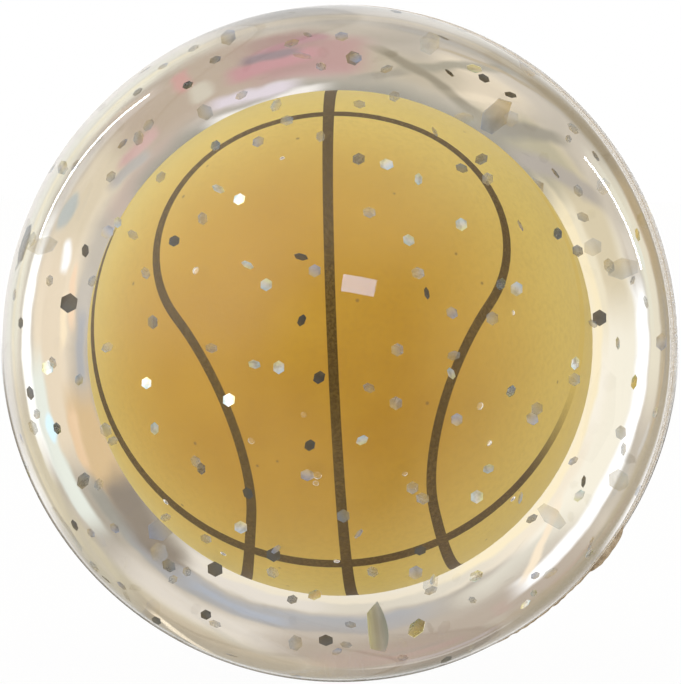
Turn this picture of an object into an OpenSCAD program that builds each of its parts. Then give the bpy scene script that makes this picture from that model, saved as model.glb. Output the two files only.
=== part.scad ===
// A clear high-bounce ball: two half shells of clear rubber cured round a solid
// ball-shaped core with a basketball's lines, with loose glitter cast into the rubber.
// The parting plane is the XZ plane, the front half lies towards -Y, and +Z is up.

/* [Ball] */
// Outside diameter of the ball
ball_d = 45; // [40:0.5:60]
// Width of the flat belt ground round the parting line
belt_w = 3; // [1:0.1:4]

/* [Core] */
// Diameter of the core
core_d = 22.4; // [16:0.2:26]
// Width of the centre line and the seam line at the core's surface
line_w = 0.54; // [0.3:0.02:1]
// Width of the ring line at the core's surface
ring_w = 0.8; // [0.3:0.02:1]
// Depth of the groove that the centre line fills
centre_depth = 0.36; // [0.32:0.01:0.5]
// Depth of the groove that the ring line fills
ring_depth = 0.28; // [0.22:0.01:0.3]
// Depth of the groove that the seam line fills
seam_depth = 0.2; // [0.1:0.01:0.21]
// How far the lower crossing of the two round lines is tipped to the front, in degrees
core_tip = 20; // [-90:0.5:90]
// How far the core is turned to the right of the front half's middle, in degrees
core_turn = 11; // [-90:0.5:90]
// How far the core leans to one side, in degrees
core_lean = -2.5; // [-90:0.5:90]

/* [Seam line on the core] */
// Angle at the core's centre from a crossing to the seam line beside it
seam_neck = 24; // [16:0.5:28]
// Angular radius of the seam line's flat stretches
seam_flat_radius = 72.5; // [60:0.5:85]
// Angle that each flat stretch turns through on either side of its middle
seam_flat_sweep = 20.5; // [5:0.5:26]
// How much wider the loops beside the centre line are than those beside the ring line
seam_spread_share = 1.03; // [0.9:0.01:1.2]
// How far the seam line is set off the two round lines, along the centre line
seam_shift = 5; // [-8:0.5:8]

/* [Glitter] */
// Width of a hexagonal flake across its corners
flake_w = 0.8; // [0.4:0.05:1]
// Thickness of a flake
flake_t = 0.06; // [0.04:0.01:0.2]
// Number of flakes in each half
flake_count = 180; // [20:5:220]
// Least distance from a flake's middle to the skin, the core and the parting plane
flake_clear = 0.55; // [0.52:0.01:1]
// How far the flakes are turned out of line with the parting plane, 0 being in line
flake_scatter_share = 0.8; // [0:0.05:0.95]

/* [Hidden] */
$fn = 96;
// Sides of the fine circle that closes a line's thin section
fine_sides = 240;
ball_r = ball_d / 2;
core_r = core_d / 2;
// Radius of the ground belt, which takes the crown off the parting line
belt_r = sqrt(ball_r * ball_r - belt_w * belt_w / 4);
// Length by which cutting shapes run past what they cut
overrun = 1;
// Straight steps along half a flat stretch and along a corner of the seam line
flat_steps = 5;
corner_steps = 20;
front_side = -1;
rear_side = 1;
// Sides of a flake
flake_sides = 6;

function unit(v) = v / norm(v);
function wrap(x) = x - floor(x);

// The two round lines cross on the core's own Z axis, in its planes X = 0 and Y = 0. The seam
// line is a chain of arcs round the core. One eighth of it gives the rest by its symmetry:
// half a flat stretch beside the lower crossing, then a corner that ends midway to the upper.
flat_pole = [sin(seam_neck + seam_flat_radius), 0, -cos(seam_neck + seam_flat_radius)];
flat_start = [-cos(seam_neck + seam_flat_radius), 0, -sin(seam_neck + seam_flat_radius)];

// Point on an arc of a unit ball: its pole, the way to its start, its angular radius and angle
function arc_point(pole, start, radius, angle) =
    cos(radius) * pole + sin(radius) * (cos(angle) * start + sin(angle) * cross(pole, start));

flat_end = arc_point(flat_pole, flat_start, seam_flat_radius, -seam_flat_sweep);
midway = unit([1, -1, 0]);
// The corner's pole lies on the arc from the flat's end to the flat's pole
inward = unit(flat_pole - (flat_pole * flat_end) * flat_end);
corner_radius = atan2(1 - flat_end * midway, inward * midway);
corner_pole = cos(corner_radius) * flat_end + sin(corner_radius) * inward;
corner_start = unit(flat_end - (flat_end * corner_pole) * corner_pole);
corner_sweep = atan2(midway * cross(corner_pole, corner_start), midway * corner_start);
seam_eighth = [
    for (i = [0 : flat_steps - 1])
        arc_point(flat_pole, flat_start, seam_flat_radius, -seam_flat_sweep * i / flat_steps),
    for (i = [0 : corner_steps])
        arc_point(corner_pole, corner_start, corner_radius, corner_sweep * i / corner_steps)
];
// A half turn about the midway point carries the eighth on to the upper crossing
seam_quarter = concat(
    seam_eighth,
    [for (i = [len(seam_eighth) - 2 : -1 : 1]) [-seam_eighth[i][1], -seam_eighth[i][0], -seam_eighth[i][2]]]
);
seam_top = [0, -seam_eighth[0][0], -seam_eighth[0][2]];
seam_half = concat(
    seam_quarter,
    [seam_top],
    [for (i = [len(seam_quarter) - 1 : -1 : 1]) [-seam_quarter[i][0], seam_quarter[i][1], seam_quarter[i][2]]]
);
seam_whole = concat(seam_half, [for (p = seam_half) [-p[0], -p[1], p[2]]]);
seam_path = [for (p = seam_whole) unit([seam_spread_share * p[0], p[1], p[2]])];

// A closed bar that follows a path on the core between two radii
module path_bar(path, low_r, high_r) {
    count = len(path);
    rings = [
        for (i = [0 : count - 1])
            let (
                along = path[(i + 1) % count] - path[(i + count - 1) % count],
                side = unit(cross(path[i], along)) * line_w / 2,
                low = path[i] * low_r,
                high = path[i] * high_r
            )
            [low - side, low + side, high + side, high - side]
    ];
    corners = len(rings[0]);
    polyhedron(
        points = [for (ring = rings) each ring],
        faces = [
            for (i = [0 : count - 1], k = [0 : corners - 1])
                let (
                    near = i * corners,
                    far = ((i + 1) % count) * corners,
                    next = (k + 1) % corners
                )
                each [[near + k, near + next, far + next], [near + k, far + next, far + k]]
        ]
    );
}

// Section of a round line's groove, which runs out past the core's surface
module groove_section(width, depth) {
    translate([core_r - depth, -width / 2])
        square([depth + overrun, width]);
}

// Section of a round line, which ends flush with the core's surface
module line_section(width, depth) {
    intersection() {
        circle(r = core_r, $fn = fine_sides);
        groove_section(width, depth);
    }
}

module centre_cutter() {
    rotate([0, 90, 0]) rotate_extrude() groove_section(line_w, centre_depth);
}

module ring_cutter() {
    rotate([90, 0, 0]) rotate_extrude() groove_section(ring_w, ring_depth);
}

module seam_cutter() {
    rotate([seam_shift, 0, 0])
        path_bar(seam_path, core_r - seam_depth, core_r + overrun);
}

// Turns the core's own shapes to the way the core lies in the ball
module core_place() {
    rotate([-core_tip, core_lean, core_turn]) children();
}

module core_ball() {
    color("goldenrod")
        core_place()
            difference() {
                sphere(r = core_r);
                centre_cutter();
                ring_cutter();
                seam_cutter();
            }
}

module centre_line() {
    color("#4a3a20")
        core_place()
            rotate([0, 90, 0])
                rotate_extrude()
                    line_section(line_w, centre_depth);
}

module ring_line() {
    color("#4a3a20")
        core_place()
            difference() {
                rotate([90, 0, 0])
                    rotate_extrude()
                        line_section(ring_w, ring_depth);
                centre_cutter();
            }
}

module seam_line() {
    color("#4a3a20")
        core_place()
            difference() {
                rotate([seam_shift, 0, 0])
                    path_bar(seam_path, core_r - seam_depth, core_r);
                centre_cutter();
                ring_cutter();
            }
}

// Root of x^4 = x + 1, whose powers spread points evenly in three directions
function spread_root(steps, x) = steps == 0 ? x : spread_root(steps - 1, pow(1 + x, 1 / 4));
spread = spread_root(24, 1);
flake_r_min = core_r + flake_clear;
flake_r_max = ball_r - flake_clear;

// Distance of a flake from the centre, even by volume
function flake_radius(i) =
    pow(pow(flake_r_min, 3) + (pow(flake_r_max, 3) - pow(flake_r_min, 3)) * wrap(i / spread), 1 / 3);
// Distance of a flake from the parting plane, even over its sphere
function flake_depth(i) =
    flake_clear + (flake_radius(i) - flake_clear) * wrap(i / pow(spread, 2));
function flake_place(i, side) =
    let (
        depth = flake_depth(i),
        across = sqrt(pow(flake_radius(i), 2) - pow(depth, 2)),
        turn = 360 * wrap(i / pow(spread, 3))
    )
    [across * cos(turn), side * depth, across * sin(turn)];
// A direction spread evenly over all ways
function loose_way(i) =
    let (
        rise = 1 - 2 * wrap(i * sqrt(2)),
        turn = 360 * wrap(i * sqrt(3)),
        level = sqrt(1 - rise * rise)
    )
    [level * cos(turn), level * sin(turn), rise];
// The way a flake faces: square to the parting plane, thrown off by the scatter
function flake_way(i, side) = unit([0, side, 0] + flake_scatter_share * loose_way(i));

module flakes(side) {
    first = side == front_side ? 1 : 1 + flake_count;
    for (i = [first : first + flake_count - 1])
        let (way = flake_way(i, side))
            translate(flake_place(i, side))
                rotate([0, acos(way[2]), atan2(way[1], way[0])])
                    cylinder(d = flake_w, h = flake_t, center = true, $fn = flake_sides);
}

module front_glitter() {
    color("silver") flakes(front_side);
}

module rear_glitter() {
    color("silver") flakes(rear_side);
}

// A half shell with its seat for the core, the ground belt and the places of its flakes
module clear_half(side) {
    difference() {
        intersection() {
            sphere(r = ball_r);
            rotate([90, 0, 0]) cylinder(r = belt_r, h = ball_d, center = true);
            translate([-ball_d, side == front_side ? -2 * ball_d : 0, -ball_d])
                cube(2 * ball_d);
        }
        sphere(r = core_r);
        flakes(side);
    }
}

module front_clear_half() {
    color("lightcyan", 0.4) clear_half(front_side);
}

module rear_clear_half() {
    color("lightcyan", 0.4) clear_half(rear_side);
}

front_clear_half();
rear_clear_half();
core_ball();
centre_line();
ring_line();
seam_line();
front_glitter();
rear_glitter();
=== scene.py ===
# A clear high-bounce ball with a ball-patterned core and loose glitter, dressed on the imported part.
import bpy
import numpy as np
from mathutils import Matrix, Vector


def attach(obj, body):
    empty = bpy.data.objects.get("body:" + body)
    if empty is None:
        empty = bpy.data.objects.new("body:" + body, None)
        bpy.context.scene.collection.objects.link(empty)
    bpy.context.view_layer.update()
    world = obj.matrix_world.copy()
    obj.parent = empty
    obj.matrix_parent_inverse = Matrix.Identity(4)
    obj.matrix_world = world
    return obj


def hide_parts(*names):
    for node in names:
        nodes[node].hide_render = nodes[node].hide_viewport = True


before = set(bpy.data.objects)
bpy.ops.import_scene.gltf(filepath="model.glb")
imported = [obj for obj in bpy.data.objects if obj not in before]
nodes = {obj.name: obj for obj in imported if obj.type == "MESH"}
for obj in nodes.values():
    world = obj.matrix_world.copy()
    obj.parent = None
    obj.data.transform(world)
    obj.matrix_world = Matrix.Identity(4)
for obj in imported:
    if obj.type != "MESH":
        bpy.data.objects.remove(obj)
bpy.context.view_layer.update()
mm = 0.001  # the values below are in millimetres, and Blender's are in metres
print("frame loaded:", sorted(nodes))


# Helpers for meshes

def meshPiece(name, points, quads, tris, colours=None):
    # points are rows of x, y, z in millimetres; faces are rows of point numbers, turning outwards
    mesh = bpy.data.meshes.new(name)
    corners = np.concatenate([np.ravel(quads), np.ravel(tris)]).astype(np.int32)
    sizes = np.concatenate([np.full(len(quads), 4), np.full(len(tris), 3)])
    starts = (np.cumsum(sizes) - sizes).astype(np.int32)
    mesh.vertices.add(len(points))
    mesh.loops.add(len(corners))
    mesh.polygons.add(len(sizes))
    mesh.vertices.foreach_set("co", (points * mm).astype(np.float32).ravel())
    mesh.loops.foreach_set("vertex_index", corners)
    mesh.polygons.foreach_set("loop_start", starts)
    mesh.update(calc_edges=True)
    for label, values in (colours or {}).items():  # one colour per point
        layer = mesh.attributes.new(label, "FLOAT_COLOR", "POINT")
        layer.data.foreach_set("color", values.astype(np.float32).ravel())
    mesh.validate()
    piece = bpy.data.objects.new(name, mesh)
    bpy.context.scene.collection.objects.link(piece)
    return piece


def ringFaces(rings, around, first=0):
    # joins each ring's point i to the next ring's, in the order along, then round, so +Y rings face outwards
    k, i = np.meshgrid(np.arange(rings - 1), np.arange(around), indexing="ij")
    j = (i + 1) % around
    here, there = first + k * around, first + (k + 1) * around
    return np.stack([here + i, there + i, there + j, here + j], -1).reshape(-1, 4)


def waves(angle, counts, seed):
    # a closed ripple round the ball: the mean of cosines of whole-number counts with seeded phases
    phase = np.random.default_rng(seed).uniform(0, 2 * np.pi, len(counts))
    return np.mean([np.cos(c * angle + p) for c, p in zip(counts, phase)], axis=0)


# Helpers for materials

def newMaterial(name):
    # a material, its node tree and its main shader
    material = bpy.data.materials.new(name)
    material.use_nodes = True
    tree = material.node_tree
    return material, tree, tree.nodes["Principled BSDF"]


def addNode(tree, kind, values=None, **settings):
    # a node with its settings, and its sockets fed by a link or set to a value
    made = tree.nodes.new(kind)
    for key, value in settings.items():
        setattr(made, key, value)
    for key, value in (values or {}).items():
        if isinstance(value, bpy.types.NodeSocket):
            tree.links.new(value, made.inputs[key])
        else:
            made.inputs[key].default_value = value
    return made


def addMath(tree, operation, a, b=0.0, c=0.0):
    # one sum on links or numbers
    return addNode(tree, "ShaderNodeMath", {0: a, 1: b, 2: c}, operation=operation).outputs[0]


def addRange(tree, value, low, high, toLow=0.0, toHigh=1.0, smooth=False):
    # carries low to high over to toLow to toHigh and stops at both, straight or with soft ends
    made = addNode(tree, "ShaderNodeMapRange", {0: value, 1: low, 2: high, 3: toLow, 4: toHigh})
    made.interpolation_type = "SMOOTHSTEP" if smooth else "LINEAR"
    return made.outputs[0]


def addMix(tree, factor, a, b, blend="MIX"):
    # colour a at factor 0 and b, or their blend, at factor 1
    made = addNode(tree, "ShaderNodeMix", data_type="RGBA", blend_type=blend)
    for key, value in ((0, factor), (6, a), (7, b)):
        if isinstance(value, bpy.types.NodeSocket):
            tree.links.new(value, made.inputs[key])
        else:
            made.inputs[key].default_value = value
    return made.outputs[2]


def addDot(tree, a, b):
    # the dot product: for unit vectors, the cosine of the angle between them
    return addNode(tree, "ShaderNodeVectorMath", {0: a, 1: b}, operation="DOT_PRODUCT").outputs["Value"]


def addScaled(tree, vector, factor):
    # the vector times a number
    return addNode(tree, "ShaderNodeVectorMath", {0: vector, "Scale": factor}, operation="SCALE").outputs[0]


def addUnit(tree, vector):
    # the vector over its own length
    return addNode(tree, "ShaderNodeVectorMath", {0: vector}, operation="NORMALIZE").outputs[0]


def addBump(tree, shader, height, strength, depth):
    # the height tips the shader's normal; the depth is in millimetres
    bump = addNode(tree, "ShaderNodeBump", {"Strength": strength, "Distance": depth * mm, "Height": height})
    tree.links.new(bump.outputs[0], shader.inputs["Normal"])


def newGroup(name, inputs, outputs):
    # a node group with named sockets; returns the group, what it is given and where its results go
    group = bpy.data.node_groups.new(name, "ShaderNodeTree")
    for label, kind in inputs:
        group.interface.new_socket(label, in_out="INPUT", socket_type="NodeSocket" + kind)
    for label, kind in outputs:
        group.interface.new_socket(label, in_out="OUTPUT", socket_type="NodeSocket" + kind)
    given = group.nodes.new("NodeGroupInput").outputs
    return group, given, group.nodes.new("NodeGroupOutput").inputs


def addGroup(tree, group, values):
    # a group node fed by links or values, for its colour
    return addNode(tree, "ShaderNodeGroup", values, node_tree=group).outputs["Colour"]


# Camera

cameraValues = {
    "azimuth": 13.0,  # degrees round from the front half's middle
    "elevation": 3.0,
    "distance": 0.3,  # metres
    "ballPixels": 339.0,  # the ball's radius in the photograph
    "centre": (340.0, 343.0),
    "frame": (681, 684),
}


def cameraAxes(azimuth, elevation):
    # back points from the ball to the camera, right and up span the picture
    a, e = np.radians(azimuth), np.radians(elevation)
    back = Vector((np.sin(a) * np.cos(e), -np.cos(a) * np.cos(e), np.sin(e)))
    right = Vector((0, 0, 1)).cross(back).normalized()
    return right, back.cross(right), back


right, up, back = cameraAxes(cameraValues["azimuth"], cameraValues["elevation"])


def addCamera(v, ballRadius):
    # the lens makes the ball's tangent cone as many pixels wide as in the photograph
    data = bpy.data.cameras.new("camera")
    camera = bpy.data.objects.new("camera", data)
    bpy.context.scene.collection.objects.link(camera)
    reach = ballRadius * mm
    halfAngle = np.tan(np.arcsin(reach / v["distance"])) * (v["frame"][0] / 2) / v["ballPixels"]
    data.sensor_fit = "HORIZONTAL"
    data.lens = data.sensor_width / 2 / halfAngle
    data.clip_start, data.clip_end = 0.01, 20
    camera.location = back * v["distance"]
    camera.rotation_euler = back.to_track_quat("Z", "Y").to_euler()
    data.shift_x = (v["frame"][0] / 2 - v["centre"][0]) / v["frame"][0]
    data.shift_y = (v["centre"][1] - v["frame"][1] / 2) / v["frame"][0]
    bpy.context.scene.camera = camera
    bpy.context.scene.view_settings.view_transform = "Standard"


# The clear rubber

rubberValues = {
    "ballRadius": 22.5,
    "ior": 1.5,
    "beltWidth": 3.0,
    "beltDrop": 0.003,  # room left for the frosted skin
    "beltRipple": 0.008,  # how unevenly the belt was ground
    "beltEdge": 0.004,  # roundness of the belt's edges
    "around": 432,
    "rings": 150,
    "bubbles": 14,
    "bubbleSize": (0.12, 0.24),  # radii
    "bubbleFlat": 0.12,  # height over width, pressed flat towards the core
    "bubbleAim": (0.25, -0.85, -0.35),  # the way from the core's middle round which most of them lie
    "bubbleLift": 0.25,  # least distance from the core
    "tint": (0.975, 0.975, 0.965, 1),
    "markStretch": (7, 0.6, 1),
    "markRough": (0.05, 0.2),
    "coreRadius": 11.2,
}


def ballProfile(v):
    # ring heights run from pole to pole, even in angle, with extra rings across the belt and at its edges
    even = -v["ballRadius"] * np.cos(np.linspace(0, np.pi, v["rings"])[1:-1])
    half = v["beltWidth"] / 2
    even = even[np.abs(even) > half + 0.5]
    edge = np.array([-0.4, -0.25, -0.15, -0.08, -0.03, 0.03, 0.08, 0.15, 0.25, 0.4])
    belt = np.concatenate([-half + edge, np.linspace(-0.8, 0.8, 7) * half * 0.8, half + edge])
    return np.sort(np.concatenate([even, belt]))


def ballPoints(v):
    # a sphere cut by a belt: the radius is the smooth lesser of the sphere's and the rippled belt's
    y = ballProfile(v)[:, None]
    angle = 2 * np.pi * np.arange(v["around"]) / v["around"]
    sphere = np.sqrt(v["ballRadius"] ** 2 - y ** 2)
    belt = np.sqrt(v["ballRadius"] ** 2 - v["beltWidth"] ** 2 / 4)
    ripple = v["beltRipple"] * (waves(angle, (2, 3, 5, 7, 11, 17), 4) - 1) / 2
    belt = belt - v["beltDrop"] + ripple[None, :]
    radius = (sphere + belt - np.sqrt((sphere - belt) ** 2 + v["beltEdge"] ** 2)) / 2
    points = np.stack([radius * np.cos(angle), y + 0 * radius, radius * np.sin(angle)], -1)
    poles = np.array([[0, -v["ballRadius"], 0], [0, v["ballRadius"], 0]])
    return points.reshape(-1, 3), poles, len(y)


def poleFaces(rings, around, first, low, high):
    # closes the first and last ring on their pole points
    i = np.arange(around)
    j = (i + 1) % around
    last = first + (rings - 1) * around
    return np.concatenate([
        np.stack([np.full(around, low), first + i, first + j], -1),
        np.stack([last + i, np.full(around, high), last + j], -1),
    ])


def bubblePoints(v):
    # each bubble is a small sphere of its own, scattered by seed near the core's lower right
    rng = np.random.default_rng(23)
    count = v["bubbles"]
    spread = rng.normal(0, 1, (count, 3)) * [0.55, 0.3, 0.55]
    towards = v["bubbleAim"] + spread
    towards[: count // 3] += np.array([0.35, 0.1, 0.1])
    towards /= np.linalg.norm(towards, axis=1)[:, None]
    size = rng.uniform(*v["bubbleSize"], count)
    away = v["coreRadius"] + v["bubbleLift"] + rng.gamma(1.5, 0.4, count)
    return towards * away[:, None], size, v["bubbleFlat"]


def bubbleSurface(centres, size, flat, bands=7, around=12):
    # rings at even angles of each small sphere, wound so that the faces look out of the rubber
    t = np.linspace(0, np.pi, bands + 2)[1:-1]
    a = 2 * np.pi * np.arange(around) / around
    ring = np.stack(np.broadcast_arrays(
        np.sin(t)[:, None] * np.cos(a), -np.cos(t)[:, None] + 0 * a, np.sin(t)[:, None] * np.sin(a)
    ), -1).reshape(-1, 3)
    unit = np.concatenate([ring, [[0, -1, 0], [0, 1, 0]]])
    outward = centres / np.linalg.norm(centres, axis=1)[:, None]
    unit = unit - (1 - flat) * np.einsum("ki,ni->nk", unit, outward)[..., None] * outward[:, None, :]
    points = centres[:, None, :] + size[:, None, None] * unit
    quads = ringFaces(bands, around)[:, ::-1]
    tris = poleFaces(bands, around, 0, len(ring), len(ring) + 1)[:, ::-1]
    step = (np.arange(len(centres)) * unit.shape[1])[:, None, None]
    return points.reshape(-1, 3), (quads + step).reshape(-1, 4), (tris + step).reshape(-1, 3)


def buildRubber(v):
    # the ball's skin and the bubbles' skins in one mesh, so that the clear rubber lies between them
    points, poles, rings = ballPoints(v)
    quads = ringFaces(rings, v["around"])
    low = len(points)
    tris = poleFaces(rings, v["around"], 0, low, low + 1)
    bubbles, bubbleQuads, bubbleTris = bubbleSurface(*bubblePoints(v))
    start = low + 2
    piece = meshPiece(
        "clearRubber",
        np.concatenate([points, poles, bubbles]),
        np.concatenate([quads, bubbleQuads + start]),
        np.concatenate([tris, bubbleTris + start]),
    )
    piece.data.shade_smooth()
    return piece


def markGroup():
    # slanting grinding marks: noise over turn times radius and height across the belt, in millimetres
    group, given, result = newGroup(
        "grindingMarks",
        (("Place", "Vector"), ("Radius", "Float"), ("Stretch", "Vector"), ("Detail", "Float")),
        (("Marks", "Float"), ("From Middle", "Float")),
    )
    xyz = addNode(group, "ShaderNodeSeparateXYZ", {0: given["Place"]}).outputs
    across = addMath(group, "MULTIPLY", xyz[1], 1 / mm)
    turn = addMath(group, "ARCTAN2", xyz[2], xyz[0])
    along = addMath(group, "MULTIPLY", turn, given["Radius"])
    flat = addNode(group, "ShaderNodeCombineXYZ", {0: along, 1: across}).outputs[0]
    slant = addNode(
        group, "ShaderNodeMapping", {"Vector": flat, "Rotation": (0, 0, 0.9), "Scale": given["Stretch"]}
    ).outputs[0]
    marks = addNode(group, "ShaderNodeTexNoise", {"Vector": slant, "Scale": 1.0, "Detail": given["Detail"]})
    group.links.new(marks.outputs[0], result["Marks"])
    group.links.new(addMath(group, "ABSOLUTE", across), result["From Middle"])
    return group


def addMarks(tree, radius, stretch, detail):
    # the marks' noise and the distance from the belt's middle in millimetres
    place = addNode(tree, "ShaderNodeTexCoord").outputs["Object"]
    made = addNode(
        tree, "ShaderNodeGroup", {"Place": place, "Radius": radius, "Stretch": stretch, "Detail": detail},
        node_tree=grindingMarks,
    ).outputs
    return made["Marks"], made["From Middle"]


def rubberMaterial(v):
    # clear all through; on the belt a mask brings in matt roughness and slanting grinding marks
    material, tree, shader = newMaterial("clearRubber")
    marks, distance = addMarks(tree, v["ballRadius"], v["markStretch"], 3.0)
    half = v["beltWidth"] / 2
    belt = addRange(tree, distance, half - 0.06, half + 0.04, 1.0, 0.0, smooth=True)
    rough = addRange(tree, marks, 0.35, 0.7, *v["markRough"])
    tree.links.new(addMath(tree, "MULTIPLY", rough, belt), shader.inputs["Roughness"])
    addBump(tree, shader, addMath(tree, "MULTIPLY", marks, belt), 0.25, 0.03)
    shader.inputs["Base Color"].default_value = v["tint"]
    shader.inputs["IOR"].default_value = v["ior"]
    shader.inputs["Transmission Weight"].default_value = 1.0
    return material


# The flash trimmed off the parting line

flashValues = {
    "around": 1440,
    "section": 8,
    "radius": 22.44,
    "line": (0.03, 0.07),  # height and half width of the bare parting line
    "sliver": (-36.5, 4.2, 0.34),  # middle and half length in degrees, and height of the long scrap
    "edge": (-50, 11, 0.08),  # the same for the thin ragged edge beside it
    "tail": (-105, 22, 0.05),
    "ceiling": 22.4499,  # half the part's own width, which no scrap may pass
    "brown": (0.34, 0.26, 0.17, 1),
    "beige": (0.64, 0.55, 0.43, 1),
}

frostValues = {
    "around": 432,
    "radius": (22.4485, 22.4498),
    "halfWidth": 1.42,
    "pale": (0.94, 0.93, 0.94, 1),
    "mark": (0.72, 0.70, 0.70, 1),
    "cover": (0.16, 0.46),  # how solid the dust looks between and on the marks
    "markStretch": (6, 0.5, 1),
}


def plateau(degrees, middle, half, height):
    # height exp(-(d / half)^6), with d the turn from the middle, taken the short way round
    away = (degrees - middle + 180) % 360 - 180
    return height * np.exp(-((away / half) ** 6))


def carriedRing(name, radius, across, angle):
    # rows of section points, a row for every angle round the parting line, joined into a closed ring
    around, n = radius.shape
    points = np.stack([
        radius * np.cos(angle)[:, None], across, radius * np.sin(angle)[:, None]
    ], -1).reshape(-1, 3)
    k, i = np.meshgrid(np.arange(around), np.arange(n), indexing="ij")
    far, side = (k + 1) % around, (i + 1) % n
    quads = np.stack([k * n + i, k * n + side, far * n + side, far * n + i], -1).reshape(-1, 4)
    return meshPiece(name, points, quads, np.zeros((0, 3), int))


def buildFlash(v):
    # an oval section carried round the parting line, as high as the line plus the scraps' plateaus
    angle = 2 * np.pi * np.arange(v["around"]) / v["around"]
    degrees = np.degrees(angle)
    ragged = np.clip(0.75 + 0.9 * waves(angle, (61, 89, 127, 173, 211), 8), 0.15, 1.2)
    lump = plateau(degrees, *v["sliver"]) * (0.9 + 0.1 * ragged)
    lump += (plateau(degrees, *v["edge"]) + plateau(degrees, *v["tail"])) * ragged
    spare = v["ceiling"] / np.maximum(np.abs(np.cos(angle)), np.abs(np.sin(angle))) - v["radius"]
    height = np.minimum(v["line"][0] + lump, np.maximum(spare, 0.005))
    width = v["line"][1] + 0.6 * lump + 0.02 * waves(angle, (13, 29, 53), 3)
    drift = 0.12 * waves(angle, (3, 7, 12), 2)
    turn = 2 * np.pi * np.arange(v["section"]) / v["section"]
    radius = v["radius"] + height[:, None] * np.cos(turn)
    piece = carriedRing("partingFlash", radius, drift[:, None] + width[:, None] * np.sin(turn), angle)
    piece.data.shade_smooth()
    return piece


def buildFrost(v):
    # the ground belt's dull skin: a flat ring a few thousandths thick
    angle = 2 * np.pi * np.arange(v["around"]) / v["around"]
    inner, outer = v["radius"]
    radius = np.repeat([[outer, outer, inner, inner]], v["around"], axis=0)
    across = np.repeat([[-1, 1, 1, -1]], v["around"], axis=0) * v["halfWidth"]
    piece = carriedRing("beltFrost", radius, across, angle)
    piece.data.shade_flat()
    return piece


def frostMaterial(v):
    # whitish dust with slanting grinding marks, thinning out at the belt's edges
    material, tree, shader = newMaterial("beltFrost")
    marks, distance = addMarks(tree, v["radius"][0], v["markStretch"], 4.0)
    scrape = addRange(tree, marks, 0.52, 0.68, 0.0, 0.8)
    tree.links.new(addMix(tree, scrape, v["pale"], v["mark"]), shader.inputs["Base Color"])
    edge = addRange(tree, distance, v["halfWidth"] - 0.3, v["halfWidth"], 1.0, 0.3, smooth=True)
    cover = addRange(tree, marks, 0.3, 0.6, *v["cover"])
    tree.links.new(addMath(tree, "MULTIPLY", cover, edge), shader.inputs["Alpha"])
    shader.inputs["Roughness"].default_value = 0.6
    return material


def flashMaterial(v):
    # rubber torn at the trim: beige-brown, mottled and matt
    material, tree, shader = newMaterial("tornFlash")
    place = addNode(tree, "ShaderNodeTexCoord").outputs["Object"]
    blotch = addNode(tree, "ShaderNodeTexNoise", {"Vector": place, "Scale": 1500.0, "Detail": 5.0}).outputs[0]
    colour = addMix(tree, addRange(tree, blotch, 0.35, 0.65), v["brown"], v["beige"])
    tree.links.new(colour, shader.inputs["Base Color"])
    addBump(tree, shader, blotch, 0.6, 0.1)
    shader.inputs["Roughness"].default_value = 0.55
    return material


# Glitter

flakeValues = {
    "width": 0.8,
    "thickness": 0.03,
    "count": 180,  # in each half, as in the part
    "clear": 0.55,
    "scatter": 0.8,  # how far the flakes are turned out of line with the parting plane
    "bend": 0.012,  # how far a flake's middle rises over its rim
    "fringe": 0.5,  # how strongly a rim drifts from blue on one side to gold on the other
    "deepFrom": 5.0,  # millimetres behind the parting plane
    # kinds: colour, how solid it looks, and its share among the flakes in general and among the deep ones
    "kinds": (
        ((0.60, 0.58, 0.50), 0.38, 0.36, 0.00),
        ((0.32, 0.31, 0.27), 0.56, 0.15, 0.06),
        ((0.09, 0.08, 0.06), 0.84, 0.12, 0.00),
        ((0.64, 0.64, 0.70), 0.50, 0.19, 0.12),
        ((0.80, 0.80, 0.82), 0.24, 0.00, 0.72),
        ((1.00, 0.98, 0.92), 0.92, 0.18, 0.10),
    ),
    # bare silver where a flake faces midway between camera and main lamp: right, up, back, degrees, tint
    "glint": ((-0.42, 0.22, 0.88), 15, (0.95, 0.95, 0.93, 1.0)),
}


def flakePlaces(v, first, side):
    # the part's own scatter, all from one root: radius even by volume, depth even over its sphere, a turn
    i = np.arange(first, first + v["count"])
    root = 1.0
    for _ in range(24):
        root = (1 + root) ** 0.25
    wrap = lambda x: x - np.floor(x)
    low, high = rubberValues["coreRadius"] + v["clear"], rubberValues["ballRadius"] - v["clear"]
    radius = np.cbrt(low ** 3 + (high ** 3 - low ** 3) * wrap(i / root))
    depth = v["clear"] + (radius - v["clear"]) * wrap(i / root ** 2)
    across = np.sqrt(radius ** 2 - depth ** 2)
    turn = 2 * np.pi * wrap(i / root ** 3)
    centres = np.stack([across * np.cos(turn), side * depth, across * np.sin(turn)], -1)
    rise, swing = 1 - 2 * wrap(i * np.sqrt(2)), 2 * np.pi * wrap(i * np.sqrt(3))
    level = np.sqrt(1 - rise ** 2)
    loose = np.stack([level * np.cos(swing), level * np.sin(swing), rise], -1)
    facing = [0, side, 0] + v["scatter"] * loose
    return centres, facing / np.linalg.norm(facing, axis=1)[:, None]


def flakeAxes(facing):
    # a flake's own x, y and z after a tilt about y and a swing about z that bring z to its facing
    tilt, swing = np.arccos(facing[:, 2]), np.arctan2(facing[:, 1], facing[:, 0])
    ct, st, cs, ss = np.cos(tilt), np.sin(tilt), np.cos(swing), np.sin(swing)
    return np.stack([
        np.stack([cs * ct, ss * ct, -st], -1), np.stack([-ss, cs, 0 * ss], -1), facing
    ], 1)


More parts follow.
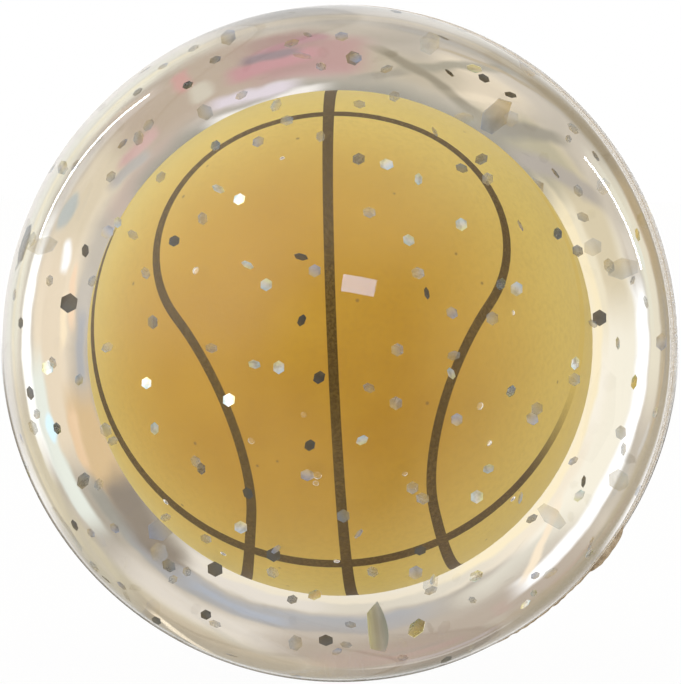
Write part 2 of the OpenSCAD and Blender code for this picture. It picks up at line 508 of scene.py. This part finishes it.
def flakeTints(v, centres, facing, rng):
    # seeded kinds of flake, from worn and half clear to dark, pale and bright, and silver where it can glint
    kinds = np.array([tuple(colour) + (solid,) for colour, solid, _, _ in v["kinds"]])
    general, deep = (np.cumsum([kind[k] for kind in v["kinds"]]) for k in (2, 3))
    draw = rng.uniform(0, 1, v["count"])
    limits = np.where(centres[:, 1:2] > v["deepFrom"], deep, general)
    tint = kinds[np.minimum((draw[:, None] > limits).sum(1), len(kinds) - 1)]
    tint[:, :3] *= rng.uniform(0.85, 1.1, (v["count"], 1))
    (aside, rise, near), reach, silver = v["glint"]
    towards = np.array((right * aside + up * rise + back * near).normalized())
    tint[np.abs(facing @ towards) > np.cos(np.radians(reach))] = silver
    return tint


def fringeTints(v, tint, turn, rng):
    # a rim point's colour is tint (1 + fringe cos(turn - the flake's own turn) (gold less blue)), and
    # the middles keep the tint
    lean = np.cos(turn[None, :] - rng.uniform(0, 2 * np.pi, v["count"])[:, None])
    lean = np.concatenate([lean, lean, np.zeros((v["count"], 2))], axis=1)[..., None]
    colour = tint[:, None, :3] * (1 + v["fringe"] * lean * [0.6, 0.15, -0.9])
    solid = np.repeat(tint[:, None, 3:], colour.shape[1], axis=1)
    return np.clip(np.concatenate([colour, solid], -1), 0, 1).reshape(-1, 4)


def buildFlakes(name, v, first, side, seed):
    # a hexagonal plate with a slightly raised middle, copied to every place by its own axes
    rng = np.random.default_rng(seed)
    centres, facing = flakePlaces(v, first, side)
    axes = flakeAxes(facing)
    turn = np.pi / 3 * np.arange(6)
    rim = np.stack([np.cos(turn), np.sin(turn), 0 * turn], -1) * v["width"] / 2 * 0.98
    half = v["thickness"] / 2
    lift = np.array([0, 0, half])
    plate = np.concatenate([rim + lift, rim - lift, [[0, 0, half]], [[0, 0, -half]]])
    local = np.repeat(plate[None], v["count"], 0)
    bend = rng.normal(0, v["bend"] / 2, v["count"])
    fold = rng.integers(0, 3, v["count"]) * np.pi / 3
    offAxis = local[..., 0] * np.cos(fold)[:, None] + local[..., 1] * np.sin(fold)[:, None]
    local[..., 2] -= bend[:, None] * (offAxis / (v["width"] / 2)) ** 2
    points = centres[:, None] + np.einsum("nki,nij->nkj", local, axes)
    i = np.arange(6)
    j = (i + 1) % 6
    quads = np.stack([i + 6, j + 6, j, i], -1)
    top, bottom = np.full(6, 12), np.full(6, 13)
    tris = np.concatenate([np.stack([top, i, j], -1), np.stack([bottom, j + 6, i + 6], -1)])
    step = (np.arange(v["count"]) * len(plate))[:, None, None]
    tint = fringeTints(v, flakeTints(v, centres, facing, rng), turn, rng)
    quads, tris = (quads + step).reshape(-1, 4), (tris + step).reshape(-1, 3)
    piece = meshPiece(name, points.reshape(-1, 3), quads, tris, {"tint": tint})
    piece.data.shade_flat()
    return piece


def flakeMaterial():
    # thin film in each flake's own tint, dulled by a fine stain; wholly solid ones are bare metal
    material, tree, shader = newMaterial("glitterFilm")
    place = addNode(tree, "ShaderNodeTexCoord").outputs["Object"]
    tint = addNode(tree, "ShaderNodeVertexColor", layer_name="tint")
    stain = addNode(tree, "ShaderNodeTexNoise", {"Vector": place, "Scale": 2200.0, "Detail": 3.0})
    dulled = addMix(tree, 1.0, tint.outputs[0], (0.62, 0.60, 0.55, 1), "MULTIPLY")
    colour = addMix(tree, addRange(tree, stain.outputs[0], 0.45, 0.7), tint.outputs[0], dulled)
    tree.links.new(colour, shader.inputs["Base Color"])
    tree.links.new(tint.outputs[1], shader.inputs["Alpha"])
    bare = addRange(tree, tint.outputs[1], 0.94, 0.99, 0.12, 0.92)
    tree.links.new(bare, shader.inputs["Metallic"])
    matt = addRange(tree, stain.outputs[0], 0.3, 0.7, 0.34, 0.52)
    polish = addMath(tree, "MULTIPLY", bare, 0.2)
    tree.links.new(addMath(tree, "SUBTRACT", matt, polish), shader.inputs["Roughness"])
    return material


# The core and its lines, on the CAD nodes

coreValues = {
    "ochre": (0.645, 0.358, 0.030, 1),
    "paleOchre": (0.74, 0.46, 0.06, 1),
    "brownOchre": (0.54, 0.29, 0.028, 1),
    "paintedLimbPale": (0.95, 0.755, 0.20, 1),  # painted light: the paler yellow towards the core's rear half stands in for its brighter limb
    "paintedLimbFrom": -10.0,
    "paintedLimbTo": 0.5,
    "paintedLimbShare": 0.85,
    "speck": (0.30, 0.17, 0.05, 1),
    "bloom": (1.0, 0.88, 0.42, 1),
    "bloomShare": 0.6,
    "ink": (0.11, 0.063, 0.007, 1),
    "inkThin": (0.20, 0.122, 0.023, 1),
    # where the ring line's print has gone thin, in millimetres: middle, reach and how softly it ends
    "worn": (((9.4, 3.5, 5.1), 7.8, 4.5), ((-8.9, 0.95, 6.85), 2.9, 0.2)),
}


def paintedLimbGroup(v):
    # painted light: the colour pales from the core's front towards its rear half, a painted brighter limb
    group, given, result = newGroup(
        "corePaintedLimb", (("Place", "Vector"), ("Under", "Color")), (("Colour", "Color"),)
    )
    depth = addNode(group, "ShaderNodeSeparateXYZ", {0: given["Place"]}).outputs[1]
    depth = addMath(group, "MULTIPLY", depth, 1 / mm)
    cover = addRange(group, depth, v["paintedLimbFrom"], v["paintedLimbTo"], 0.0, v["paintedLimbShare"], smooth=True)
    group.links.new(addMix(group, cover, given["Under"], v["paintedLimbPale"]), result["Colour"])
    return group


def addBloom(shader, v):
    # a dusty bloom that pales the limb
    shader.inputs["Sheen Weight"].default_value = v["bloomShare"]
    shader.inputs["Sheen Roughness"].default_value = 0.4
    shader.inputs["Sheen Tint"].default_value = v["bloom"]


def coreMaterial(v):
    # ochre rubber: cloudy pigment, a painted paler limb, a fine grain, and sparse brown specks
    material, tree, shader = newMaterial("ochreRubber")
    place = addNode(tree, "ShaderNodeTexCoord").outputs["Object"]
    cloud = addNode(tree, "ShaderNodeTexNoise", {"Vector": place, "Scale": 150.0, "Detail": 3.0})
    grain = addNode(tree, "ShaderNodeTexNoise", {"Vector": place, "Scale": 3800.0, "Detail": 2.0})
    cells = addNode(tree, "ShaderNodeTexVoronoi", {"Vector": place, "Scale": 900.0})
    colour = addMix(tree, addRange(tree, cloud.outputs[0], 0.3, 0.7), v["brownOchre"], v["paleOchre"])
    # painted light: the colour pales towards the rear half, standing in for the brighter limb
    colour = addGroup(tree, corePaintedLimb, {"Place": place, "Under": addMix(tree, 0.6, colour, v["ochre"])})
    colour = addMix(tree, addRange(tree, grain.outputs[0], 0.4, 0.75, 0.0, 0.10), colour, v["speck"])
    lot = addNode(tree, "ShaderNodeSeparateColor", {0: cells.outputs["Color"]}).outputs[0]
    chosen = addRange(tree, lot, 0.86, 0.88)
    dot = addRange(tree, cells.outputs["Distance"], 0.05, 0.12, 0.7, 0.0, smooth=True)
    colour = addMix(tree, addMath(tree, "MULTIPLY", dot, chosen), colour, v["speck"])
    tree.links.new(colour, shader.inputs["Base Color"])
    addBump(tree, shader, grain.outputs[0], 0.25, 0.03)
    shader.inputs["Roughness"].default_value = 0.6
    shader.inputs["Specular IOR Level"].default_value = 0.1  # bonded to rubber, not to air
    addBloom(shader, v)
    return material


def inkMaterial(name, v, worn=()):
    # brown-black line, speckled where the pigment is thin, and nearly gone inside the worn spots
    material, tree, shader = newMaterial(name)
    place = addNode(tree, "ShaderNodeTexCoord").outputs["Object"]
    speckle = addNode(
        tree, "ShaderNodeTexNoise", {"Vector": place, "Scale": 6500.0, "Detail": 2.0, "Roughness": 0.6}
    ).outputs[0]
    cloud = addNode(tree, "ShaderNodeTexNoise", {"Vector": place, "Scale": 260.0, "Detail": 2.0})
    dots, patches = addRange(tree, speckle, 0.42, 0.66), addRange(tree, cloud.outputs[0], 0.3, 0.6, 0.5, 1.0)
    colour = addMix(tree, addMath(tree, "MULTIPLY", dots, patches), v["ink"], v["inkThin"])
    # inside the worn spots the core's ochre shows, with its painted paler limb
    rubber = addGroup(tree, corePaintedLimb, {"Place": place, "Under": v["ochre"]})
    for middle, reach, soft in worn:
        away = addNode(
            tree, "ShaderNodeVectorMath", {0: place, 1: Vector(middle) * mm}, operation="DISTANCE"
        ).outputs["Value"]
        ragged = addMath(tree, "ADD", away, addRange(tree, speckle, 0.3, 0.7, -0.3 * mm, 0.3 * mm))
        gone = addRange(tree, ragged, (reach - 0.9) * mm, (reach + soft) * mm, 1.0, 0.0, smooth=True)
        colour = addMix(tree, gone, colour, rubber)
    tree.links.new(colour, shader.inputs["Base Color"])
    addBump(tree, shader, speckle, 0.3, 0.04)
    shader.inputs["Roughness"].default_value = 0.55
    shader.inputs["Specular IOR Level"].default_value = 0.03
    return material


# The stage

stageValues = {
    "floor": (0.80, 0.78, 0.74, 1),
    "floorSize": 3.0,  # metres
    "floorHeight": -22.46,  # just under the ball
    "floorLift": 0.97,  # how far the floor is lifted to white for the camera
    "air": (0.54, 0.48, 0.40, 1),  # the sky's plain light
    "airRange": (0.78, 1.25),  # how dim and how lit the air's clouds are
    "strength": 1.0,
    "ripple": 0.05,  # how far the sky's shapes waver
    # large soft lights and shades: direction as right, up and back of the camera, light, and the
    # degrees within which it is full and beyond which it is gone
    "glows": [
        ((0.0, 0.1, 1.0), (0.40, 0.37, 0.32, 1), 16, 50),
        ((0.0, 1.0, 0.25), (1.25, 1.24, 1.20, 1), 25, 65),
        ((-0.85, 0.45, 0.45), (1.9, 1.85, 1.75, 1), 18, 55),
        ((0.95, -0.10, 0.35), (1.10, 0.97, 0.79, 1), 18, 55),
        ((-0.62, -0.72, 0.42), (1.18, 1.08, 0.86, 1), 22, 56),
        ((0.68, -0.68, 0.12), (1.15, 1.04, 0.88, 1), 14, 42),
        ((0.0, 0.0, -1.0), (1.3, 1.3, 1.3, 1), 27, 31),
    ],
    # what the clear rim shows of the sky: clock angle in the picture, half span and softness in degrees,
    # nearest and farthest reach as shares of the ball's radius, and the colour as seen
    "tones": [
        (-14, 26, 20, 0.745, 0.875, (0.93, 0.905, 0.85)),
        (-46, 18, 14, 0.745, 0.805, (0.905, 0.86, 0.78)),
        (-46, 12, 12, 0.82, 0.865, (0.82, 0.80, 0.75)),
        (-10, 24, 14, 0.80, 0.875, (0.91, 0.885, 0.82)),
        (28, 14, 14, 0.745, 0.87, (0.81, 0.76, 0.65)),
        (16, 10, 14, 0.745, 0.80, (0.89, 0.85, 0.75)),
        (48, 9, 10, 0.745, 0.86, (0.69, 0.66, 0.57)),
        (62, 6, 8, 0.81, 0.91, (0.85, 0.80, 0.72)),
        (78, 8, 10, 0.745, 0.87, (0.73, 0.69, 0.62)),
        (99, 10, 8, 0.79, 0.905, (0.72, 0.59, 0.58)),
        (106, 7, 8, 0.82, 0.93, (0.68, 0.58, 0.56)),
        (112, 9, 8, 0.745, 0.79, (0.84, 0.80, 0.77)),
        (124, 10, 12, 0.78, 0.94, (0.72, 0.66, 0.60)),
        (140, 7, 8, 0.745, 0.80, (0.74, 0.66, 0.61)),
        (156, 12, 12, 0.80, 0.91, (0.84, 0.79, 0.70)),
        (182, 16, 12, 0.80, 0.91, (0.89, 0.83, 0.74)),
        (183, 14, 8, 0.755, 0.785, (0.74, 0.71, 0.67)),
        (203, 7, 10, 0.745, 0.83, (0.82, 0.71, 0.55)),
        (225, 9, 8, 0.745, 0.82, (0.58, 0.53, 0.49)),
        (226, 12, 10, 0.82, 0.86, (0.61, 0.60, 0.57)),
        (200, 12, 10, 0.88, 0.92, (0.86, 0.88, 0.85)),
        (262, 34, 18, 0.745, 0.80, (0.83, 0.80, 0.74)),
        (256, 26, 14, 0.81, 0.86, (0.655, 0.655, 0.665)),
        (248, 16, 14, 0.87, 0.94, (0.83, 0.80, 0.76)),
        (290, 26, 14, 0.86, 0.99, (0.655, 0.61, 0.565)),
        (250, 12, 10, 0.745, 0.80, (0.86, 0.83, 0.79)),
        (222, 22, 16, 0.93, 0.985, (0.73, 0.70, 0.63)),
        (4, 54, 16, 0.945, 0.982, (0.60, 0.565, 0.50)),
        (250, 14, 10, 0.94, 0.99, (0.67, 0.63, 0.57)),
        (12, 14, 16, 0.915, 0.945, (0.82, 0.80, 0.73)),
        (-22, 28, 8, 0.875, 0.912, (1.0, 1.0, 1.0)),
        (180, 14, 14, 0.916, 0.94, (1.0, 1.0, 0.985)),
        (150, 24, 20, 0.95, 0.985, (0.79, 0.78, 0.73)),
        (-14, 44, 20, 0.735, 0.775, (0.94, 0.885, 0.75)),
        (268, 20, 16, 0.735, 0.77, (0.90, 0.86, 0.78)),
    ],
    # streaks from one picture point to another, with half width in degrees and the colour as seen
    "streaks": [
        ((348, 84), (408, 71), 1.0, (0.64, 0.61, 0.56)),
        ((400, 71), (520, 74), 1.3, (0.62, 0.60, 0.55)),
        ((372, 46), (486, 124), 1.2, (0.58, 0.55, 0.49)),
        ((480, 128), (566, 140), 1.5, (0.58, 0.56, 0.52)),
        ((505, 150), (606, 205), 1.8, (0.66, 0.63, 0.60)),
        ((430, 46), (560, 108), 0.8, (0.66, 0.61, 0.53)),
        ((226, 80), (322, 50), 2.6, (0.76, 0.585, 0.60)),
        ((250, 58), (326, 34), 1.4, (0.70, 0.56, 0.58)),
        ((205, 108), (300, 84), 1.2, (0.84, 0.80, 0.83)),
        ((205, 125), (330, 86), 0.9, (0.92, 0.90, 0.88)),
        ((240, 62), (300, 50), 1.6, (0.60, 0.54, 0.56)),
        ((178, 72), (186, 92), 1.4, (0.78, 0.62, 0.60)),
        ((196, 84), (206, 100), 1.6, (0.80, 0.77, 0.71)),
        ((120, 170), (160, 125), 1.8, (0.80, 0.68, 0.66)),
        ((108, 190), (150, 150), 1.2, (0.70, 0.68, 0.66)),
        ((56, 226), (78, 200), 2.6, (0.70, 0.72, 0.71)),
        ((70, 330), (76, 262), 0.9, (0.93, 0.82, 0.70)),
        ((62, 350), (66, 290), 0.8, (0.95, 0.88, 0.76)),
        ((82, 385), (80, 310), 0.9, (0.66, 0.66, 0.67)),
        ((62, 274), (68, 240), 1.3, (1.0, 1.0, 1.0)),
        ((88, 470), (70, 405), 1.4, (0.90, 0.78, 0.64)),
        ((45, 414), (57, 440), 1.8, (0.84, 0.95, 1.0)),
        ((112, 470), (180, 572), 4.4, (0.52, 0.48, 0.44)),
        ((186, 582), (290, 624), 1.1, (0.66, 0.68, 0.72)),
        ((150, 610), (215, 655), 1.4, (0.93, 0.88, 0.80)),
        ((560, 500), (520, 585), 0.8, (0.93, 0.86, 0.76)),
    ],
    # the outermost rim mirrors these: clock opposite the place, half span, softness, leans, light
    "farRim": [
        (-58, 66, 18, 14, 32, (0.84, 0.85, 0.87, 1)),
        (178, 30, 15, 14, 29, (1.55, 1.58, 1.64, 1)),
        (90, 46, 18, 18, 36, (0.30, 0.28, 0.23, 1)),
        (90, 75, 20, 2, 17, (0.16, 0.14, 0.11, 1)),
    ],
}

lampValues = {
    # picture points where the skin mirrors each lamp's two ends, distance and width in metres, light
    "window": ((342, 283), (375, 289), 0.9, 0.088, (4.6, 6.0, 9.5)),
    "leftEdge": ((150, 96), (41, 238), 0.9, 0.020, (10, 10, 10)),
    "rightEdge": ((583, 158), (640, 270), 0.9, 0.020, (13, 13, 13)),
}


def softEdge(tree, value, full, gone):
    # 1 up to full, then a smooth fall to 0 at gone
    made = addNode(tree, "ShaderNodeMapRange", {0: value, 1: full, 2: gone, 3: 1.0, 4: 0.0})
    made.interpolation_type = "SMOOTHSTEP"
    return made.outputs[0]


def toneGroup():
    # covers the part of the sky within a span of a clock direction and of a lean off the line of sight
    group, given, result = newGroup(
        "rimTone",
        (
            ("Aside", "Vector"), ("Off Sight", "Float"), ("Under", "Color"), ("Tone", "Color"),
            ("Clock", "Vector"), ("Clock Full", "Float"), ("Clock Gone", "Float"),
            ("Lean", "Float"), ("Lean Full", "Float"), ("Lean Gone", "Float"),
        ),
        (("Colour", "Color"),),
    )
    turned = addMath(group, "ARCCOSINE", addDot(group, given["Aside"], given["Clock"]))
    off = addMath(group, "ABSOLUTE", addMath(group, "SUBTRACT", given["Off Sight"], given["Lean"]))
    inClock = softEdge(group, turned, given["Clock Full"], given["Clock Gone"])
    inLean = softEdge(group, off, given["Lean Full"], given["Lean Gone"])
    cover = addMath(group, "MULTIPLY", inClock, inLean)
    group.links.new(addMix(group, cover, given["Under"], given["Tone"]), result["Colour"])
    return group


def streakGroup():
    # covers a soft bar of the sky: near a great circle, given by its normal, and near the bar's middle
    group, given, result = newGroup(
        "skyStreak",
        (
            ("Way", "Vector"), ("Under", "Color"), ("Tone", "Color"), ("Normal", "Vector"),
            ("Middle", "Vector"), ("Half Width", "Float"), ("Half Length", "Float"),
        ),
        (("Colour", "Color"),),
    )
    off = addMath(group, "ABSOLUTE", addMath(group, "ARCSINE", addDot(group, given["Way"], given["Normal"])))
    along = addMath(group, "ARCCOSINE", addDot(group, given["Way"], given["Middle"]))
    narrow, wide = (addMath(group, "MULTIPLY", given["Half Width"], k) for k in (0.4, 1.6))
    short, long = (addMath(group, "MULTIPLY", given["Half Length"], k) for k in (0.6, 1.2))
    inWidth, inLength = softEdge(group, off, narrow, wide), softEdge(group, along, short, long)
    cover = addMath(group, "MULTIPLY", inWidth, inLength)
    group.links.new(addMix(group, cover, given["Under"], given["Tone"]), result["Colour"])
    return group


def raySlant(reach):
    # a ray that meets the ball at this share b of its radius comes at asin(b R/D) to the line of sight
    return np.arcsin(reach * rubberValues["ballRadius"] * mm / cameraValues["distance"])


def rimLean(reach):
    # it leaves 2 (asin b - asin(b/n)) off its own way, on the far side of the line of sight
    return 2 * (np.arcsin(reach) - np.arcsin(reach / rubberValues["ior"])) - raySlant(reach)


def rimLight(seen, reach):
    # the light that looks like the seen colour after two skins: linear colour over (1 - F)^2 and the
    # rubber's tint, F being Fresnel's share, less what the skin mirrors of a sky half as bright as white
    i, t = np.arcsin(reach), np.arcsin(reach / rubberValues["ior"])
    mirrored = ((np.sin(i - t) / np.sin(i + t)) ** 2 + (np.tan(i - t) / np.tan(i + t)) ** 2) / 2
    linear = ((np.array(seen) + 0.055) / 1.055) ** 2.4
    return tuple((linear - 0.5 * mirrored).clip(0.02) / ((1 - mirrored) ** 2 * 0.95)) + (1.0,)


def pictureReach(x, y):
    # clock angle and reach of a point in the picture
    dx, dy = x - cameraValues["centre"][0], cameraValues["centre"][1] - y
    return np.arctan2(dy, dx), np.hypot(dx, dy) / cameraValues["ballPixels"]


def rimWay(x, y):
    # where the ray through a picture point of the rim goes on behind the ball, across the line of sight
    clock, reach = pictureReach(x, y)
    lean = rimLean(reach)
    return -(right * np.cos(clock) + up * np.sin(clock)) * np.sin(lean) - back * np.cos(lean)


def mirrorWay(x, y):
    # where the skin mirrors to at a picture point: 2 asin b less the ray's own slant, off the way back
    clock, reach = pictureReach(x, y)
    turned = 2 * np.arcsin(reach) - raySlant(reach)
    return (right * np.cos(clock) + up * np.sin(clock)) * np.sin(turned) + back * np.cos(turned)


def worldLight(v):
    # the sky's light by direction: cloudy air, glows, then what the rim shows and mirrors; the
    # camera itself sees white
    world = bpy.data.worlds.new("studio")
    bpy.context.scene.world = world
    world.use_nodes = True
    tree = world.node_tree
    way = addNode(tree, "ShaderNodeTexCoord").outputs["Generated"]
    cloud = addNode(
        tree, "ShaderNodeTexNoise", {"Vector": way, "Scale": 2.6, "Detail": 2.0, "Distortion": 0.8}
    ).outputs[0]
    dim, lit = (tuple(c * k for c in v["air"][:3]) + (1,) for k in v["airRange"])
    colour = addMix(tree, addRange(tree, cloud, 0.3, 0.7), dim, lit)
    for towards, tone, full, gone in v["glows"]:
        aim = (right * towards[0] + up * towards[1] + back * towards[2]).normalized()
        outer, inner = np.cos(np.radians(gone)), np.cos(np.radians(full))
        colour = addMix(tree, addRange(tree, addDot(tree, way, aim), outer, inner, smooth=True), colour, tone)
    waver = addNode(tree, "ShaderNodeTexNoise", {"Vector": way, "Scale": 9.0, "Detail": 2.0}).outputs["Color"]
    waver = addNode(
        tree, "ShaderNodeVectorMath", {0: waver, 1: (0.5, 0.5, 0.5)}, operation="SUBTRACT"
    ).outputs[0]
    waver = addScaled(tree, waver, v["ripple"])
    loose = addNode(tree, "ShaderNodeVectorMath", {0: way, 1: waver}, operation="ADD").outputs[0]
    loose = addUnit(tree, loose)
    ahead = addDot(tree, loose, -back)
    offSight = addMath(tree, "ARCCOSINE", ahead)
    along = addScaled(tree, -back, ahead)
    aside = addNode(tree, "ShaderNodeVectorMath", {0: loose, 1: along}, operation="SUBTRACT").outputs[0]
    aside = addUnit(tree, aside)
    rim, streak = toneGroup(), streakGroup()
    tones = []
    for clock, half, soft, near, far, seen in v["tones"]:
        low, high = rimLean(near), rimLean(far)
        light = rimLight(seen, (near + far) / 2)
        tones.append((clock, half, half + soft, (low + high) / 2, high - low, light))
    for clock, half, soft, low, high, tone in v["farRim"]:
        tones.append((clock, half, half + soft, np.radians(low + high) / 2, np.radians(high - low), tone))
    for clock, full, gone, lean, height, tone in tones:
        turn = np.radians(clock)
        colour = addGroup(tree, rim, {
            "Aside": aside, "Off Sight": offSight, "Under": colour, "Tone": tone,
            "Clock": -(right * np.cos(turn) + up * np.sin(turn)),
            "Clock Full": np.radians(full), "Clock Gone": np.radians(gone),
            "Lean": lean, "Lean Full": 0.32 * height, "Lean Gone": 0.68 * height,
        })
    for start, end, half, seen in v["streaks"]:
        a, b = rimWay(*start), rimWay(*end)
        reach = (pictureReach(*start)[1] + pictureReach(*end)[1]) / 2
        colour = addGroup(tree, streak, {
            "Way": loose, "Under": colour, "Tone": rimLight(seen, reach), "Normal": a.cross(b).normalized(),
            "Middle": (a + b).normalized(), "Half Width": np.radians(half), "Half Length": a.angle(b) / 2,
        })
    sky = tree.nodes["Background"]
    tree.links.new(colour, sky.inputs["Color"])
    sky.inputs["Strength"].default_value = v["strength"]
    white = addNode(tree, "ShaderNodeBackground", {"Color": (1, 1, 1, 1), "Strength": 1.0})
    seen = addNode(tree, "ShaderNodeLightPath").outputs["Is Camera Ray"]
    mixed = addNode(tree, "ShaderNodeMixShader", {0: seen, 1: sky.outputs[0], 2: white.outputs[0]})
    tree.links.new(mixed.outputs[0], tree.nodes["World Output"].inputs["Surface"])


def addFloor(v):
    # a plain sheet under the ball: for the camera it is lifted to white and keeps the shadow, and
    # the clear rubber looks through it at the sky's tones
    half, height = v["floorSize"] / 2 / mm, v["floorHeight"]
    corners = np.array([[x * half, y * half, height] for x, y in ((-1, -1), (1, -1), (1, 1), (-1, 1))])
    floor = meshPiece("floor", corners, np.array([[0, 1, 2, 3]]), np.zeros((0, 3), int))
    material, tree, shader = newMaterial("paleFloor")
    shader.inputs["Base Color"].default_value = v["floor"]
    shader.inputs["Roughness"].default_value = 0.9
    glow = addNode(tree, "ShaderNodeEmission", {"Color": (1, 1, 1, 1), "Strength": 1.0})
    path = addNode(tree, "ShaderNodeLightPath").outputs
    lift = addMath(tree, "MULTIPLY", path["Is Camera Ray"], v["floorLift"])
    lifted = addNode(tree, "ShaderNodeMixShader", {0: lift, 1: shader.outputs[0], 2: glow.outputs[0]})
    through = addMath(tree, "MAXIMUM", path["Is Transmission Ray"], path["Is Glossy Ray"])
    clear = addNode(tree, "ShaderNodeBsdfTransparent")
    mixed = addNode(tree, "ShaderNodeMixShader", {0: through, 1: lifted.outputs[0], 2: clear.outputs[0]})
    tree.links.new(mixed.outputs[0], tree.nodes["Material Output"].inputs["Surface"])
    floor.data.materials.append(material)


def addLamp(name, oneEnd, otherEnd, distance, width, light):
    # a long lamp for gloss only, seen in the skin between two picture points, of power light x area x pi
    ends = [mirrorWay(*end) * distance for end in (oneEnd, otherEnd)]
    middle = (ends[0] + ends[1]) / 2
    z = middle.normalized()
    y = (ends[0] - ends[1]).normalized()
    x = y.cross(z).normalized()
    y = z.cross(x)
    data = bpy.data.lights.new(name, "AREA")
    data.shape = "RECTANGLE"
    data.size, data.size_y = width, (ends[0] - ends[1]).length
    data.energy = max(light) * data.size * data.size_y * np.pi
    data.color = [part / max(light) for part in light]
    lamp = bpy.data.objects.new(name, data)
    bpy.context.scene.collection.objects.link(lamp)
    turn = Matrix((x, y, z)).transposed()
    lamp.matrix_world = Matrix.Translation(middle) @ turn.to_4x4()
    lamp.visible_camera = False
    lamp.visible_transmission = False
    lamp.visible_diffuse = False


# Putting it together

grindingMarks = markGroup()
rubber = buildRubber(rubberValues)
rubber.data.materials.append(rubberMaterial(rubberValues))
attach(rubber, "root")
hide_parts("front_clear_half", "rear_clear_half")
print("clear rubber made:", len(rubber.data.polygons), "faces")

flash = buildFlash(flashValues)
flash.data.materials.append(flashMaterial(flashValues))
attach(flash, "root")
frost = buildFrost(frostValues)
frost.data.materials.append(frostMaterial(frostValues))
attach(frost, "root")
print("parting flash and belt frost made")

glitter = flakeMaterial()
for name, first, side, seed, node in (
    ("frontFlakes", 1, -1, 5, "front_glitter"),
    ("rearFlakes", 1 + flakeValues["count"], 1, 6, "rear_glitter"),
):
    flakes = buildFlakes(name, flakeValues, first, side, seed)
    flakes.data.materials.append(glitter)
    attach(flakes, "root")
    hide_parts(node)
print("glitter made")

# the painted paler limb, shared by the core and the worn ink
corePaintedLimb = paintedLimbGroup(coreValues)
ochre, ink = coreMaterial(coreValues), inkMaterial("lineInk", coreValues)
wornInk = inkMaterial("wornInk", coreValues, coreValues["worn"])
for name, finish in (("core_ball", ochre), ("centre_line", ink), ("ring_line", wornInk), ("seam_line", ink)):
    nodes[name].data.materials.clear()
    nodes[name].data.materials.append(finish)
print("core and lines dressed")

worldLight(stageValues)
addFloor(stageValues)
for name, values in lampValues.items():
    addLamp(name, *values)
addCamera(cameraValues, rubberValues["ballRadius"])
print("stage and camera set")
